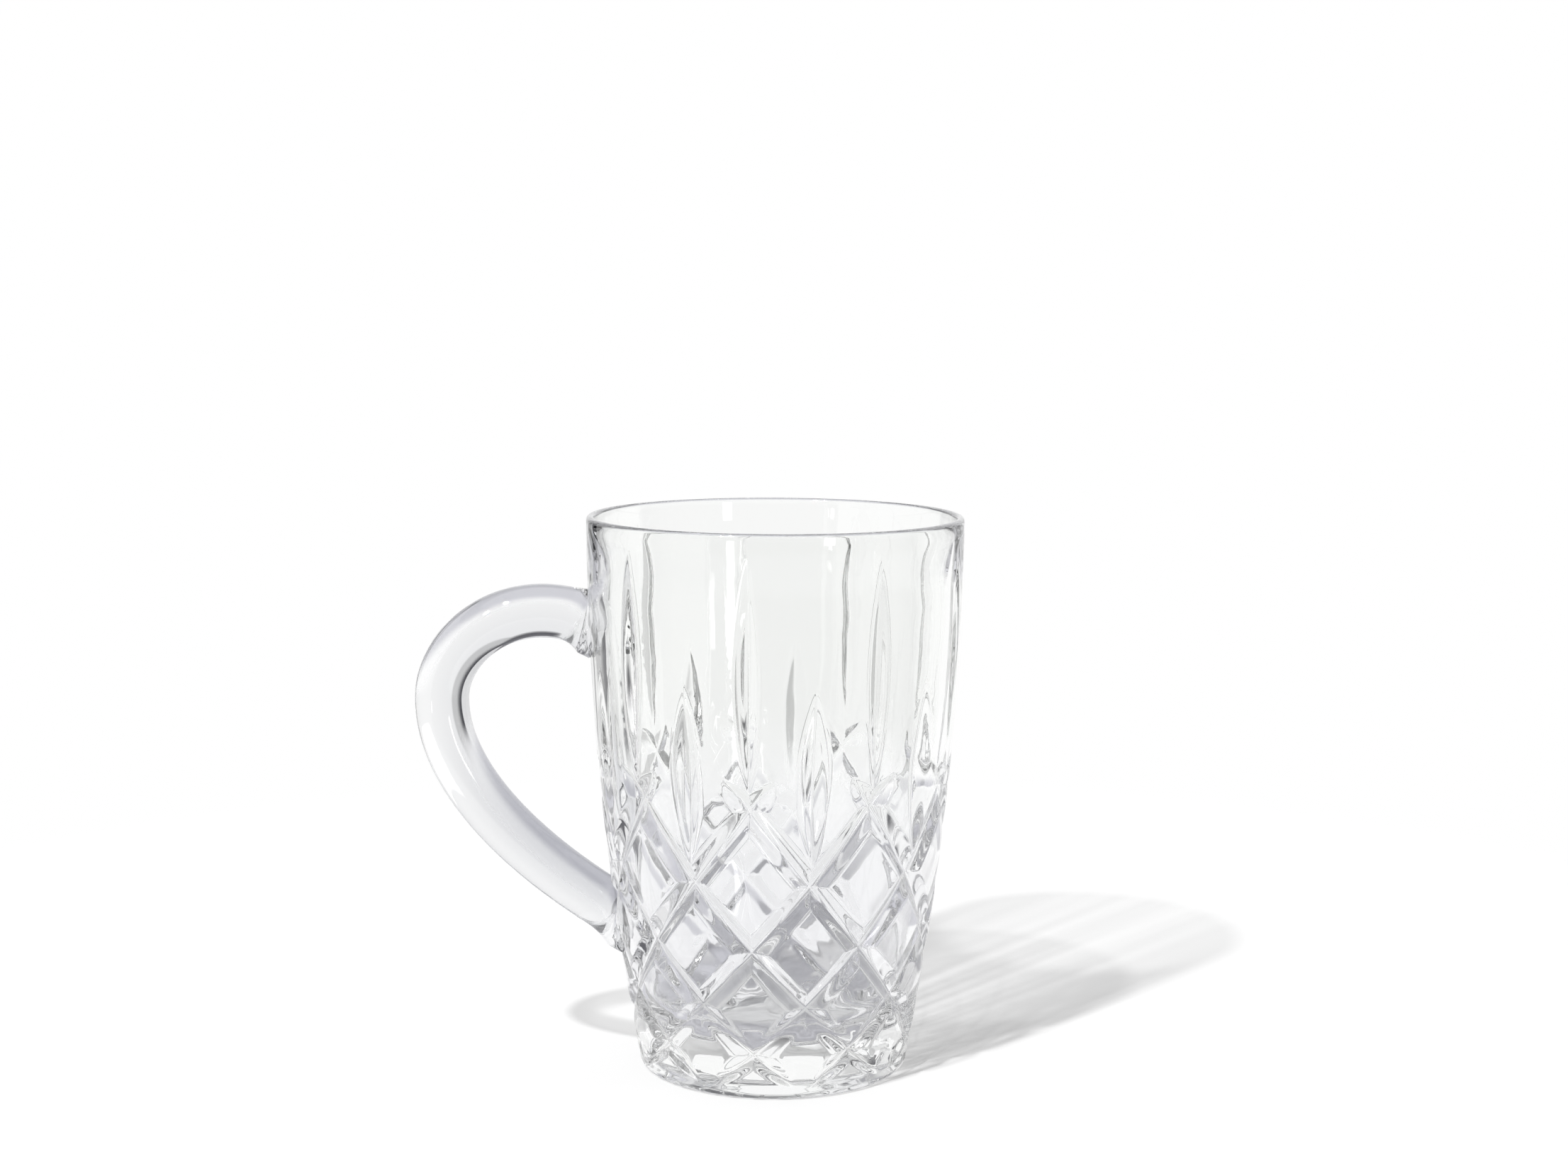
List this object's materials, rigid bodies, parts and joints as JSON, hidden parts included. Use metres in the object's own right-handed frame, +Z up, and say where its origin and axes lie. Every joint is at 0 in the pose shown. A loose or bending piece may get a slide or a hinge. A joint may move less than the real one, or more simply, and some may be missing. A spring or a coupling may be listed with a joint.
{
  "type": "tea glass",
  "caption": "Handled tea glass: tall barrel-shaped clear glass cup with a cut diamond lattice and leaf pattern, thick base and a looped glass handle.",
  "frame": {"origin": "on the cup's axis, at the flat standing face", "axes": "+Z up along the cup's axis to the rim, -X towards the handle, Y across the handle"},
  "size_m": [0.1198, 0.0824, 0.122],
  "materials": {
    "cup_glass": "clear pressed glass, fire-polished",
    "handle_glass": "clear drawn glass, fire-polished"
  },
  "bodies": {
    "root": {"cup": "cup_glass", "handle": "handle_glass"}
  },
  "joints": []
}
